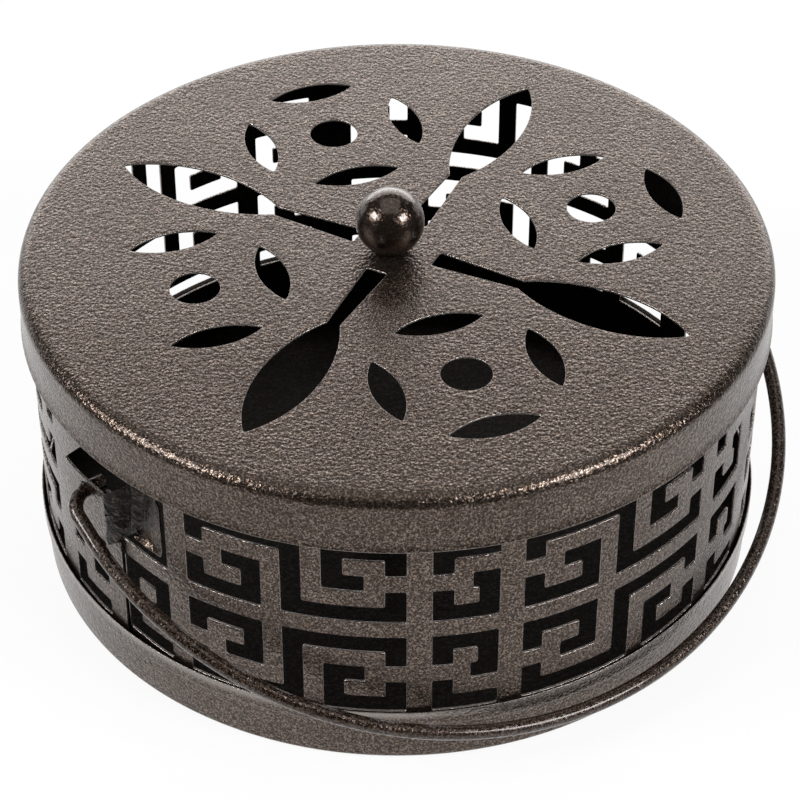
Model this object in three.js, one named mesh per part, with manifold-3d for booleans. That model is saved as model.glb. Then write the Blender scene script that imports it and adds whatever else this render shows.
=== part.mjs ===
// Round incense coil burner of pressed and powder coated sheet steel.
// Millimetres, +Z up, the flat of the base on z = 0, the viewer on the -Y side.
import * as THREE from 'three';
import { mergeVertices } from 'three/addons/utils/BufferGeometryUtils.js';
import Module from 'manifold-3d';

const wasm = await Module();
wasm.setup();

// Facets of everything turned about the main axis
const turn_facets = 72;
const turn_step = 2 * Math.PI / turn_facets;
const full_turn = 2 * Math.PI;
const small_hole_facets = 18;

// Sheet and running clearances
const sheet = 0.8;
const seat_clearance = 0.1;
const lap_gap = 0.1;
const cut_overrun = 4;

// Lid: a flat drawn cap with a short skirt
const lid_radius = 72;
const lid_flare = 0.2;
const lid_edge_round = 2.5;
const lid_skirt = 12;
const lid_top = 65.6;
const lid_seat_clearance = 0.15;
const lid_side_clearance = 0.7;

// Pan: a shallow dish whose rim is stepped out to take the foot of the band
const pan_corner = 5;
const pan_wall_lean = 0.25;
const pan_seat_width = 0.45;
const pan_seat_height = 8.6;
const pan_rim_height = 12.8;
const pan_lip_width = 0.2;
const pan_lip_round = 2;

// Fret band: one strip rolled into a ring, its ends lapped and crimped
const band_radius = lid_radius - sheet - lid_side_clearance;
const lower_row_bottom = 12.4;
const lower_row_top = 31.3;
const upper_row_bottom = 35;
const upper_row_top = 53.8;
const fret_rows = 5;
const seam_angle = THREE.MathUtils.degToRad(-48.15);
const lap_run = 16.2;

// Openings of the lid
const cluster_margin = 32.3;
const cluster_radius = lid_radius - cluster_margin;
const cluster_hole = 4.75;
const leaf_reach = 15.1;
const leaf_length = 17.7;
const leaf_width = 5.7;
const cluster_turn = THREE.MathUtils.degToRad(18.45);
const petal_turn = THREE.MathUtils.degToRad(63.4);
const petal_start = 8.2;
const petal_slot_half = 2.2;
const petal_neck = 26;
const petal_neck_half = 1.3;
const petal_margin = 12;
const petal_tip = lid_radius - petal_margin;
const petal_half = 5.7;
const petal_tip_half = 0.5;
const lid_openings = 4;

// Knob and its screw
const knob_radius = 6.55;
const knob_rise = 6.05;
const knob_offset = -1.25;
const knob_bore_depth = 8;
const screw_radius = 1.5;
const screw_clearance = 0.3;
const screw_length = 7.5;
const screw_head_radius = 2.9;
const screw_head_height = 1.9;
const screw_slot_width = 0.8;
const screw_slot_depth = 1;

// Bail: a wire bow that hangs in two holes of the band
const wire_radius = 1.25;
const bail_angle = THREE.MathUtils.degToRad(-54.8);
const bail_height = 40.4;
const bail_side_room = 2.7;
const bail_half_width = lid_radius + lid_flare + bail_side_room;
const bail_overhang = 6.5;
const bail_depth = bail_half_width + bail_overhang;
const bail_leg = 9;
const bail_droop = THREE.MathUtils.degToRad(24);
const bail_bend = 4.6;
const bail_hook = 3.9;
const bail_inner_end = band_radius - bail_hook;
const ear_hole_radius = 1.6;
const wire_sides = 10;

// Ear and crimped tongue at the seam
const notch_left = 16.1;
const notch_top_left = 5.5;
const notch_floor = 43.6;
const notch_low_corner = 42.4;
const tongue_reach = 13.2;
const tongue_low_root = 32.6;
const tongue_low_mid = 38.4;
const tongue_low_tip = 37.3;
const tongue_high_tip = 49.5;
const tongue_high_mid = 51.5;
const tongue_mid = 7.6;
const tongue_knee = 3.3;
const tongue_low_knee = 35.9;
const dent_depth = 1.3;
const dent_lean = 2.6;
const tongue_columns = 19;
const tongue_rows = 8;
const inner_bar_top = 44;

// Coil stand pressed from one piece of sheet
const stand_radius = 14;
const stand_height = 21;
const stand_width = 7;
const stand_neck_width = 2.2;
const stand_shoulder = 15;
const stand_slot_margin = 0.5;

// Radii of the pan, which follow from the band that stands in it
const pan_rim_inner = band_radius + seat_clearance;
const pan_wall_top_radius = pan_rim_inner + sheet - pan_seat_width;
const pan_flat_radius = pan_wall_top_radius - pan_wall_lean - pan_corner;

// The lid's underside, and the band's top edge where it meets the round inside the lid
const lid_underside = lid_top - sheet;
const lid_edge_centre = lid_radius - lid_edge_round;
const lid_inner_round = lid_edge_round - sheet;
const band_top = lid_top - lid_edge_round
  + Math.sqrt((lid_inner_round - lid_seat_clearance) ** 2 - (band_radius - lid_edge_centre) ** 2);

const finishes = {
  coat: { color: 0x5d5650, roughness: 0.42, metalness: 0.35 },
  wire: { color: 0x554d46, roughness: 0.4, metalness: 0.4 },
  inside: { color: 0x3a3633, roughness: 0.45, metalness: 0.35 },
  steel: { color: 0xa9aaa8, roughness: 0.35, metalness: 0.9 },
};

const group = new THREE.Group();
group.name = 'incense_coil_burner';

function addPart(name, geometry, finish) {
  const mesh = new THREE.Mesh(geometry, new THREE.MeshStandardMaterial(finish));
  mesh.name = name;
  group.add(mesh);
  return mesh;
}

// Boolean helpers

function toManifold(geometry) {
  const bare = geometry.clone();
  bare.deleteAttribute('normal');
  bare.deleteAttribute('uv');
  const merged = mergeVertices(bare, sheet / 8000);
  const mesh = new wasm.Mesh({
    numProp: 3,
    vertProperties: new Float32Array(merged.attributes.position.array),
    triVerts: new Uint32Array(merged.index.array),
  });
  return new wasm.Manifold(mesh);
}

function toGeometry(manifold) {
  const mesh = manifold.getMesh();
  const geometry = new THREE.BufferGeometry();
  geometry.setAttribute('position', new THREE.BufferAttribute(new Float32Array(mesh.vertProperties), 3));
  geometry.setIndex(new THREE.BufferAttribute(new Uint32Array(mesh.triVerts), 1));
  geometry.computeVertexNormals();
  return geometry;
}

function joinAll(geometries) {
  return geometries.map(toManifold).reduce((sum, next) => sum.add(next));
}

// Directions: an azimuth is measured from the viewer's side towards +X

function onWall(radius, azimuth) {
  return new THREE.Vector2(radius * Math.sin(azimuth), -radius * Math.cos(azimuth));
}

function azimuthsBetween(start, end) {
  const list = [start];
  const first = Math.ceil(start / turn_step + 0.05);
  const last = Math.floor(end / turn_step - 0.05);
  for (let i = first; i <= last; i += 1) {
    list.push(i * turn_step);
  }
  list.push(end);
  return list;
}

function turned(profile) {
  const points = profile.map(([radius, height]) => new THREE.Vector2(radius, height));
  return new THREE.LatheGeometry(points, turn_facets).rotateX(Math.PI / 2);
}

function roundedCorner(cx, cy, rx, ry, from, to, steps) {
  const points = [];
  for (let i = 0; i <= steps; i += 1) {
    const angle = from + (to - from) * i / steps;
    points.push([cx + rx * Math.cos(angle), cy + ry * Math.sin(angle)]);
  }
  return points;
}

function raised(shape, bottom, top, curveSegments = 12) {
  const options = { depth: top - bottom, bevelEnabled: false, curveSegments };
  return new THREE.ExtrudeGeometry(shape, options).translate(0, 0, bottom);
}

// A piece of ring wall between two azimuths and two heights
function wallSector(start, end, bottom, top, inner, outer) {
  const azimuths = azimuthsBetween(start, end);
  const outside = azimuths.map((azimuth) => onWall(outer, azimuth));
  const inside = azimuths.map((azimuth) => onWall(inner, azimuth)).reverse();
  return raised(new THREE.Shape([...outside, ...inside]), bottom, top);
}

// An outline drawn on the wall, as lengths along it and heights, pushed through it radially
function wallPrism(outline, azimuth, inner, outer) {
  const flat = outline.map(([along, height]) => {
    const turn = along / band_radius;
    return new THREE.Vector2(band_radius * Math.tan(turn), height);
  });
  const options = { depth: outer - inner, bevelEnabled: false };
  const geometry = new THREE.ExtrudeGeometry(new THREE.Shape(flat), options);
  const along = new THREE.Vector3(Math.cos(azimuth), Math.sin(azimuth), 0);
  const outward = new THREE.Vector3(Math.sin(azimuth), -Math.cos(azimuth), 0);
  const basis = new THREE.Matrix4().makeBasis(along, new THREE.Vector3(0, 0, 1), outward);
  return geometry.translate(0, 0, inner).applyMatrix4(basis);
}

// Pan

function makePan() {
  const corner_inner = pan_corner - sheet;
  const rim_inner = pan_rim_inner;
  const rim_outer = rim_inner + sheet;
  const lip_base = pan_rim_height - pan_lip_round;
  const lip_reach = rim_outer - rim_inner - pan_lip_width;
  const profile = [
    [0, 0],
    ...roundedCorner(pan_flat_radius, pan_corner, pan_corner, pan_corner, -Math.PI / 2, 0, 4),
    [pan_wall_top_radius, pan_seat_height + sheet / 2],
    ...roundedCorner(rim_inner + pan_lip_width, lip_base, lip_reach, pan_lip_round, 0, Math.PI / 2, 3),
    [rim_inner, pan_rim_height],
    [rim_inner, pan_seat_height],
    [pan_wall_top_radius - sheet, pan_seat_height],
    ...roundedCorner(pan_flat_radius, pan_corner, corner_inner, corner_inner, 0, -Math.PI / 2, 3),
    [0, sheet],
  ];
  return turned(profile);
}

// Arms of the fret's windows, in columns and rows of its module: first and last column, first and
// last row. Arms that meet overlap at their corner.

const short_columns_share = 3.2;
const long_columns_share = 11;
const bar_share = 1.235;

const short_upper_shares = [
  [0, 3.2, 0, 1], [0, 1, 0, 2],
  [0, 1, 3, 5], [0, 3.2, 4, 5], [2.2, 3.2, 2, 5], [1.9, 3.2, 2, 3],
];
const short_lower_shares = [
  [0, 3.2, 0, 1], [0, 1, 0, 2], [2.2, 3.2, 0, 3], [1.85, 3.2, 2, 3],
  [0, 1, 3, 5], [0, 3.2, 4, 5],
];
const long_upper_shares = [
  [0, 6, 0, 1], [0, 1, 0, 2], [5, 6, 0, 5], [5, 11, 4, 5], [10, 11, 3, 5],
  [0, 1, 3, 5], [0, 4, 4, 5], [3, 4, 2, 5], [2, 4, 2, 3],
  [7, 11, 0, 1], [7, 8, 0, 3], [7, 9, 2, 3], [10, 11, 0, 2],
];
const long_lower_shares = [
  [0, 4, 0, 1], [0, 1, 0, 2], [3, 4, 0, 3], [2, 4, 2, 3],
  [5, 11, 0, 1], [10, 11, 0, 2], [5, 6, 0, 5], [0, 6, 4, 5], [0, 1, 3, 5],
  [7, 9, 2, 3], [7, 8, 2, 5], [7, 11, 4, 5], [10, 11, 3, 5],
];

const columns = { short: short_columns_share, long: long_columns_share };
const fret = {
  short: { upper: short_upper_shares, lower: short_lower_shares },
  long: { upper: long_upper_shares, lower: long_lower_shares },
};

// The strip read from the seam towards +X, each unit with the extra width of the bar before it
const strip_units = [
  { size: 'short', extra_share: 0, upper: false },
  { size: 'long', extra_share: 0, upper: true },
  { size: 'short', extra_share: 0, upper: true },
  { size: 'long', extra_share: 0, upper: true },
  { size: 'short', extra_share: 0, upper: true },
  { size: 'short', extra_share: 0.65, upper: true },
  { size: 'long', extra_share: 0, upper: true },
  { size: 'short', extra_share: 0.95, upper: false },
  { size: 'long', extra_share: 0, upper: true },
  { size: 'short', extra_share: 0, upper: true },
  { size: 'short', extra_share: 1.15, upper: true },
  { size: 'long', extra_share: 0, upper: true },
  { size: 'short', extra_share: 0, upper: true },
  { size: 'long', extra_share: 0, upper: true },
  { size: 'short', extra_share: 0.6, upper: false },
];

function unitShare(unit) {
  return columns[unit.size] + bar_share + unit.extra_share;
}

const module_angle = full_turn / strip_units.reduce((sum, unit) => sum + unitShare(unit), 0);
const bar_half_angle = module_angle * bar_share / 2;
const lap_end_angle = seam_angle + bar_half_angle;
const lap_start_angle = seam_angle - bar_half_angle;

function fretWindow(cell, start, top, row) {
  const [first, last, above, below] = cell;
  return wallSector(
    start + first * module_angle,
    start + last * module_angle,
    top - below * row,
    top - above * row,
    band_radius - cut_overrun,
    band_radius + cut_overrun,
  );
}

function fretWindows() {
  const upper_row = (upper_row_top - upper_row_bottom) / fret_rows;
  const lower_row = (lower_row_top - lower_row_bottom) / fret_rows;
  const windows = [];
  let bar = seam_angle;
  for (const unit of strip_units) {
    const start = bar + unit.extra_share * module_angle + bar_half_angle;
    const pattern = fret[unit.size];
    if (unit.upper) {
      windows.push(...pattern.upper.map((cell) => fretWindow(cell, start, upper_row_top, upper_row)));
    }
    windows.push(...pattern.lower.map((cell) => fretWindow(cell, start, lower_row_top, lower_row)));
    bar += unitShare(unit) * module_angle;
  }
  return windows;
}

// The strip's outer radius, drawn in by one sheet where it runs under its own lapped end
function stripRadius(azimuth) {
  const run = (azimuth - lap_end_angle) * band_radius / lap_run;
  const rise = THREE.MathUtils.smoothstep(run, 0, 1);
  return band_radius - (sheet + lap_gap) * (1 - rise);
}

function rolledStrip() {
  const start = lap_start_angle + lap_gap / band_radius;
  const azimuths = azimuthsBetween(start, lap_end_angle + full_turn);
  const outside = azimuths.map((azimuth) => onWall(stripRadius(azimuth), azimuth));
  const inside = azimuths.map((azimuth) => onWall(stripRadius(azimuth) - sheet, azimuth)).reverse();
  return raised(new THREE.Shape([...outside, ...inside]), pan_seat_height, band_top);
}

// Trapezoid notch over the left ear, cut in the outer layer only
function earNotch() {
  const bar_half = bar_half_angle * band_radius;
  const keep = tongueAzimuths().join_end * band_radius - seam_angle * band_radius;
  const outline = [
    [-notch_left, notch_low_corner],
    [keep, notch_floor],
    [keep, tongue_low_knee],
    [bar_half + lap_gap, tongue_low_knee],
    [bar_half + lap_gap, upper_row_top],
    [-notch_top_left, upper_row_top],
  ];
  const through = wallPrism(outline, seam_angle, band_radius - cut_overrun, band_radius + cut_overrun);
  const outer_layer = wallSector(
    seam_angle - notch_left * 1.2 / band_radius,
    lap_end_angle + lap_gap / band_radius,
    pan_rim_height,
    band_top,
    band_radius - sheet - lap_gap / 2,
    band_radius + cut_overrun * 2,
  );
  return toManifold(through).intersect(toManifold(outer_layer));
}

// The tongue shares one whole facet with the strip, so both faces meet flush there
function tongueAzimuths() {
  const join_end = Math.floor(seam_angle / turn_step) * turn_step;
  return { join_start: join_end - turn_step, join_end };
}

// Places along the tongue, and how far it stands out there, bulging over the bar and then dented in.
// The lean is how much of the extra dent at the top edge each place takes.
const reach_shares = [0.09, 0.147, 0.225, 0.302, 0.367, 0.455, 0.6, 0.79, 1];
const offset_shares = [0.62, 0.65, 0.19, -0.38, -0.95, -0.45, -0.6, -0.4, -0.23];
const lean_shares = [0, 0, 0, 0.1, 0.7, 0.55, 1, 0.5, 0];

// Crimped tongue: over the inner strip's first bar, then pressed into the opening behind it
function tongueRoute(first) {
  const stations = [new THREE.Vector3(first, 0, 0)];
  reach_shares.forEach((share, i) => {
    const along = first + (tongue_reach - first) * share;
    stations.push(new THREE.Vector3(along, offset_shares[i] * dent_depth, lean_shares[i] * dent_lean));
  });
  return new THREE.CatmullRomCurve3(stations, false, 'catmullrom', 0.5).getPoints(tongue_columns - 1);
}

function crimpedTongue() {
  const { join_start, join_end } = tongueAzimuths();
  const first = join_end * band_radius - seam_angle * band_radius;
  const flush = new THREE.Vector3((join_start - seam_angle) * band_radius, 0, 0);
  const route = [flush, ...tongueRoute(first)];
  const plate = new THREE.BoxGeometry(1, 1, 1, tongue_columns, tongue_rows, 1);
  const corners = plate.attributes.position;
  for (let i = 0; i < corners.count; i += 1) {
    const column = Math.round((corners.getX(i) + 0.5) * tongue_columns);
    const rise = corners.getY(i) + 0.5;
    const station = route[column];
    const height = pan_rim_height + (upper_row_top - pan_rim_height) * rise;
    const lean = Math.max(height - tongue_low_root, 0) / (upper_row_top - tongue_low_root);
    const depth = sheet * (0.5 - corners.getZ(i)) + station.z * lean - station.y;
    const place = onWall(band_radius - depth, seam_angle + station.x / band_radius);
    corners.setXYZ(i, place.x, place.y, height);
  }
  const bar_half = bar_half_angle * band_radius;
  const outline = [
    [-notch_left, tongue_low_root],
    [0, tongue_low_root],
    [tongue_knee, tongue_low_knee],
    [tongue_knee + bar_half, tongue_low_mid],
    [tongue_reach + sheet, tongue_low_tip],
    [tongue_reach + sheet, tongue_high_tip],
    [tongue_mid, tongue_high_mid],
    [sheet, notch_floor + bar_half],
    [first, notch_floor],
    [-notch_left, notch_floor],
  ];
  const face = wallPrism(outline, seam_angle, band_radius - cut_overrun, band_radius + cut_overrun);
  return toManifold(plate).intersect(toManifold(face));
}

// The inner strip's first unit is open above its middle rail, which lets the dent go in, and its
// first bar ends under the tongue
function seamOpening() {
  const end = lap_end_angle + short_columns_share * module_angle;
  const layer_split = band_radius - sheet - lap_gap / 2;
  const low = band_radius - cut_overrun;
  const high = band_radius + cut_overrun;
  const opening = wallSector(lap_end_angle, end, upper_row_bottom, upper_row_top, low, high);
  const before = lap_start_angle - lap_gap / band_radius;
  const bar_end = wallSector(before, lap_end_angle, inner_bar_top, upper_row_top, low, layer_split);
  return joinAll([opening, bar_end]);
}

function earHoles() {
  const length = (band_radius + cut_overrun) * 2;
  const drill = new THREE.CylinderGeometry(ear_hole_radius, ear_hole_radius, length, small_hole_facets);
  return drill.rotateZ(Math.PI / 2).rotateZ(bail_angle + Math.PI / 2).translate(0, 0, bail_height);
}

function makeBand() {
  const windows = joinAll(fretWindows()).add(seamOpening());
  return toManifold(rolledStrip())
    .subtract(windows)
    .subtract(earNotch())
    .add(crimpedTongue())
    .subtract(toManifold(earHoles()));
}

// Lid

function leafShape() {
  const half = leaf_length / 2;
  const radius = (half * half + leaf_width * leaf_width / 4) / leaf_width;
  const rise = radius - leaf_width / 2;
  const spread = Math.asin(half / radius);
  const shape = new THREE.Shape();
  shape.absarc(0, -rise, radius, Math.PI / 2 - spread, Math.PI / 2 + spread, false);
  shape.absarc(0, rise, radius, -Math.PI / 2 - spread, -Math.PI / 2 + spread, false);
  return shape;
}

function petalShape() {
  const belly = (petal_half * 8 - petal_neck_half - petal_tip_half) / 6;
  const near = petal_neck + (petal_tip - petal_neck) * 0.3;
  const far = petal_neck + (petal_tip - petal_neck) * 0.72;
  const shoulder = petal_tip - petal_tip_half;
  const shape = new THREE.Shape();
  shape.moveTo(petal_start, -petal_slot_half);
  shape.lineTo(petal_neck, -petal_neck_half);
  shape.bezierCurveTo(near, -belly, far, -belly, shoulder, -petal_tip_half);
  shape.lineTo(petal_tip, 0);
  shape.lineTo(shoulder, petal_tip_half);
  shape.bezierCurveTo(far, belly, near, belly, petal_neck, petal_neck_half);
  shape.lineTo(petal_start, petal_slot_half);
  return shape;
}

function throughLid(shape, curveSegments) {
  return raised(shape, lid_underside - cut_overrun, lid_top + cut_overrun, curveSegments);
}

// Three clusters have four leaves and the front left one has no outer leaf
function clusterCuts(index) {
  const direction = cluster_turn + index * full_turn / lid_openings;
  const cx = cluster_radius * Math.cos(direction);
  const cy = cluster_radius * Math.sin(direction);
  const hole = new THREE.Shape().absarc(0, 0, cluster_hole, 0, full_turn, false);
  const cuts = [throughLid(hole, small_hole_facets).translate(cx, cy, 0)];
  const leaf = throughLid(leafShape(), 5);
  const first_leaf = index === 2 ? 1 : 0;
  for (let side = first_leaf; side < 4; side += 1) {
    const toward = direction + side * Math.PI / 2;
    const x = cx + leaf_reach * Math.cos(toward);
    const y = cy + leaf_reach * Math.sin(toward);
    cuts.push(leaf.clone().rotateZ(toward + Math.PI / 2).translate(x, y, 0));
  }
  return cuts;
}

function makeLid() {
  const inner_round = lid_inner_round;
  const inner_radius = lid_radius - sheet;
  const skirt_bottom = lid_top - lid_skirt;
  const edge_centre = lid_edge_centre;
  const edge_height = lid_top - lid_edge_round;
  const profile = [
    [0, lid_underside],
    ...roundedCorner(edge_centre, edge_height, inner_round, inner_round, Math.PI / 2, 0, 3),
    [inner_radius + lid_flare, skirt_bottom],
    [lid_radius + lid_flare, skirt_bottom],
    ...roundedCorner(edge_centre, edge_height, lid_edge_round, lid_edge_round, 0, Math.PI / 2, 5),
    [0, lid_top],
  ];
  const cuts = [];
  for (let i = 0; i < lid_openings; i += 1) {
    cuts.push(...clusterCuts(i));
    cuts.push(throughLid(petalShape(), 7).rotateZ(petal_turn + i * full_turn / lid_openings));
  }
  const screw_hole = new THREE.Shape();
  screw_hole.absarc(knob_offset, 0, screw_radius + screw_clearance, 0, full_turn, false);
  cuts.push(throughLid(screw_hole, small_hole_facets));
  return toManifold(turned(profile)).subtract(joinAll(cuts));
}

// Knob and screw

function makeKnob() {
  const bore = screw_radius + screw_clearance;
  const low = Math.asin(-knob_rise / knob_radius);
  const centre = lid_top + knob_rise;
  const ball = roundedCorner(0, centre, knob_radius, knob_radius, low, Math.PI / 2, 10);
  ball[ball.length - 1][0] = 0;
  const profile = [
    [0, lid_top + knob_bore_depth],
    [bore, lid_top + knob_bore_depth],
    [bore, lid_top],
    ...ball,
  ];
  const points = profile.map(([radius, height]) => new THREE.Vector2(radius, height));
  return new THREE.LatheGeometry(points, small_hole_facets).rotateX(Math.PI / 2).translate(knob_offset, 0, 0);
}

function makeScrew() {
  const head_low = lid_underside - screw_head_height;
  const profile = [
    [0, head_low],
    [screw_head_radius * 0.7, head_low],
    [screw_head_radius, head_low + screw_head_height * 0.6],
    [screw_head_radius, lid_underside],
    [screw_radius, lid_underside],
    [screw_radius, lid_underside + screw_length],
    [0, lid_underside + screw_length],
  ];
  const points = profile.map(([radius, height]) => new THREE.Vector2(radius, height));
  const body = new THREE.LatheGeometry(points, small_hole_facets).rotateX(Math.PI / 2);
  const slot_top = head_low + screw_slot_depth;
  const slot = new THREE.BoxGeometry(screw_head_radius * 3, screw_slot_width, screw_slot_depth * 2);
  slot.translate(0, 0, slot_top - screw_slot_depth);
  return toManifold(body).subtract(toManifold(slot)).translate([knob_offset, 0, 0]);
}

// Bail: the wire's centre line from one hooked end over the bow to the other
class BailCurve extends THREE.Curve {
  constructor() {
    super();
    this.stations = this.quarter();
    const mirrored = this.stations.slice(0, -1).reverse().map(([side, reach]) => [-side, reach]);
    this.stations.push(...mirrored);
  }

  // Half of the bow in its own plane: out along the pivot, round the bend, down the leg, half the bow
  quarter() {
    const list = [];
    for (let i = 0; i < 2; i += 1) {
      list.push([bail_inner_end + (bail_half_width - bail_bend - bail_inner_end) * i / 2, 0]);
    }
    const bend_centre = bail_half_width - bail_bend;
    list.push(...roundedCorner(bend_centre, bail_bend, bail_bend, bail_bend, -Math.PI / 2, 0, 5));
    const bow_height = bail_depth - bail_leg;
    for (let i = 0; i <= 26; i += 1) {
      const turn = Math.PI / 2 * i / 26;
      list.push([bail_half_width * Math.cos(turn), bail_leg + bow_height * Math.sin(turn)]);
    }
    list[list.length - 1][0] = 0;
    return list;
  }

  getPoint(t) {
    const place = Math.min(t, 1) * (this.stations.length - 1);
    const index = Math.min(Math.floor(place), this.stations.length - 2);
    const mix = place - index;
    const [a, b] = [this.stations[index], this.stations[index + 1]];
    const side = a[0] + (b[0] - a[0]) * mix;
    const reach = a[1] + (b[1] - a[1]) * mix;
    const pivot = new THREE.Vector3(Math.sin(bail_angle), -Math.cos(bail_angle), 0);
    const front = new THREE.Vector3(Math.cos(bail_angle), Math.sin(bail_angle), 0);
    const rest = front.multiplyScalar(Math.cos(bail_droop));
    rest.z = -Math.sin(bail_droop);
    const point = pivot.multiplyScalar(side).addScaledVector(rest, reach);
    point.z += bail_height;
    return point;
  }

  getPointAt(u) {
    return this.getPoint(u);
  }

  getTangentAt(u) {
    const half_step = 0.5 / (this.stations.length - 1);
    const before = this.getPoint(Math.max(u - half_step, 0));
    const after = this.getPoint(Math.min(u + half_step, 1));
    return after.sub(before).normalize();
  }
}

function makeBail() {
  const section = new THREE.Shape();
  for (let i = 0; i < wire_sides; i += 1) {
    const turn = full_turn * i / wire_sides;
    const x = wire_radius * Math.cos(turn);
    const y = wire_radius * Math.sin(turn);
    if (i === 0) {
      section.moveTo(x, y);
    } else {
      section.lineTo(x, y);
    }
  }
  const extrudePath = new BailCurve();
  return new THREE.ExtrudeGeometry(section, { steps: extrudePath.stations.length - 1, extrudePath });
}

// Coil stand: a disc on the floor of the pan with its own tongue folded up

function makeStand() {
  const disc = new THREE.Shape().absarc(0, 0, stand_radius, 0, full_turn, false);
  const foot = raised(disc, sheet, sheet * 2, small_hole_facets);
  const half = stand_width / 2;
  const neck = stand_neck_width / 2;
  const top = sheet + stand_height;
  const shoulder = sheet + stand_shoulder;
  const upright = new THREE.Shape();
  upright.moveTo(-half, sheet);
  upright.lineTo(half, sheet);
  upright.lineTo(half, shoulder);
  upright.lineTo(neck, shoulder);
  upright.lineTo(neck, top - stand_neck_width * 2);
  upright.lineTo(0, top);
  upright.lineTo(-neck, top - stand_neck_width * 2);
  upright.lineTo(-neck, shoulder);
  upright.lineTo(-half, shoulder);
  const tab = new THREE.ExtrudeGeometry(upright, { depth: sheet, bevelEnabled: false });
  tab.rotateX(Math.PI / 2);
  const slot_length = stand_radius * 0.7;
  const slot = new THREE.BoxGeometry(stand_width + stand_slot_margin * 2, slot_length, sheet * 4);
  slot.translate(0, slot_length / 2, sheet);
  return toManifold(foot).subtract(toManifold(slot)).add(toManifold(tab));
}

addPart('base_pan', makePan(), finishes.coat);
addPart('fret_band', toGeometry(makeBand()), finishes.coat);
addPart('lid', toGeometry(makeLid()), finishes.coat);
addPart('ball_knob', makeKnob(), finishes.wire);
addPart('knob_screw', toGeometry(makeScrew()), finishes.steel);
addPart('bail_handle', makeBail(), finishes.wire);
addPart('coil_stand', toGeometry(makeStand()), finishes.inside);

export default group;
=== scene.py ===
import math

import bmesh
import bpy
import numpy as np
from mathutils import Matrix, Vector
from mathutils.geometry import delaunay_2d_cdt


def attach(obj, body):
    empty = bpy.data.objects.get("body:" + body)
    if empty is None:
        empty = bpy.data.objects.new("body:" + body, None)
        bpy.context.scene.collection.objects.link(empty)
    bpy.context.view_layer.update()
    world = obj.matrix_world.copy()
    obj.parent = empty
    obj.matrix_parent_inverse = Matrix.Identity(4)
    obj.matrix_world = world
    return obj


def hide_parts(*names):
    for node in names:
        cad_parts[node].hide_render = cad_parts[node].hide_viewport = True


# Incense coil burner of powder coated sheet steel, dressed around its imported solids.
# Pieces are drawn in millimetres and brought to metres when their mesh is made.

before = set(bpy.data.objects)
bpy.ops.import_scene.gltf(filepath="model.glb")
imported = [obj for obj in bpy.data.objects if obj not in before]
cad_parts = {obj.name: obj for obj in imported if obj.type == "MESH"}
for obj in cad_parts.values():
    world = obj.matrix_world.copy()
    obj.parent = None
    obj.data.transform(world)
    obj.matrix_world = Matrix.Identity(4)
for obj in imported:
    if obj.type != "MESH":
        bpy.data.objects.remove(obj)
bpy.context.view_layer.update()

mm = 0.001
full_turn = 2 * math.pi
quarter_turn = math.pi / 2
turn_facets = 180

# Sheet and its rounded cut edges
sheet = 0.8
thin_sheet = 0.5
edge_round = 0.13
edge_steps = 2
corner_round = 0.42
corner_steps = 3
outline_step = 1.6
fill_step = 1.5
fine_step = 0.6
slit_width = 0.12
fill_tolerance = 1e-5
weld_distance = 1e-7
slight_bend = math.radians(20)
corner_reach_parts = 2.1
sharpest_share = 0.5
sharp_angle = math.radians(50)
round_steps = 6
hole_facets = 32
skirt_edge_round = 0.2
pan_step_round = 0.8
leaf_steps = 14
leaf_tip_round = 0.35
petal_steps = 24
petal_corner_round = 0.6
petal_near_share = 0.3
petal_far_share = 0.72
ball_steps = 28
ball_facets = 72
screw_pitch = 0.8
thread_depth = screw_pitch / 3
bend_steps = 10
bow_steps = 64
wire_facets = 20
spline_steps = 6
stand_slot_share = 0.7

# Patch sizes of the coat, as shares of its cell size or in millimetres
warp_share = 0.5
crumb_share = 0.5
speck_share = 0.55
swell_share = 2.2
fleck_share = 0.48
wrinkle_softness = 0.5
cloud_size = 18.0
fold_size = 2.6

# How high each part of the coat's relief stands, where 1 is its depth
wrinkle_height = 1.6
crumb_height = 0.7
swell_height = 0.7
fold_height = 9

# How strongly each patch colours, dulls or roughens the coat
warm_strength = 0.5
# Painted shade in the hollows between the wrinkles
hollow_shade_strength = 0.4
speck_strength = 0.9
cloud_strength = 0.16
# Lighter cut edges: partly edge wear, partly painted highlight
bare_and_gleam_strength = 0.8
# Painted shade over the tongue's folds, lighter on the raised creases
fold_shade_strength = 0.97
lit_crease_strength = 0.5
shade_and_speck_dulling = 0.1
crumb_roughness = 0.1
cloud_roughness = 0.06
flake_share = 0.9
gloss_roughness = 0.1
gloss_refraction = 1.5
inside_facing = 0.45

# Pan
pan_flat_radius = 69.5
pan_corner = 1.2
pan_wall_top_radius = 70.95
pan_seat_height = 8.6
pan_rim_height = 12.8
pan_lip_width = 0.18
pan_lip_round = 0.08
pan_lip_drop = 3.4
pan_ring_shares = (1 / 3, 2 / 3)
seat_clearance = 0.1

# Fret band
band_radius = 70.5
lower_row_bottom = 12.4
lower_row_top = 31.3
upper_row_bottom = 35.0
upper_row_top = 53.8
fret_rows = 5
seam_angle = math.radians(-48.15)
lap_run = 16.2
lap_gap = 0.1

# Ear and tongue at the seam
notch_left = 16.1
notch_top_left = 5.5
notch_low_corner = 42.4
notch_floor = 43.6
tongue_join = -2.28
tongue_reach = 13.2
tongue_low_root = 32.6
tongue_knee = 3.3
tongue_low_knee = 35.9
tongue_low_mid = 38.4
tongue_low_tip = 37.3
tongue_high_tip = 49.5
tongue_mid = 7.6
tongue_high_mid = 51.5
tongue_high_root = 45.9
dent_depth = 1.3
dent_lean = 2.6
fold_fade = 1.62
fold_soft = 0.3
inner_bar_top = 44.0
ear_hole_radius = 1.6

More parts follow.
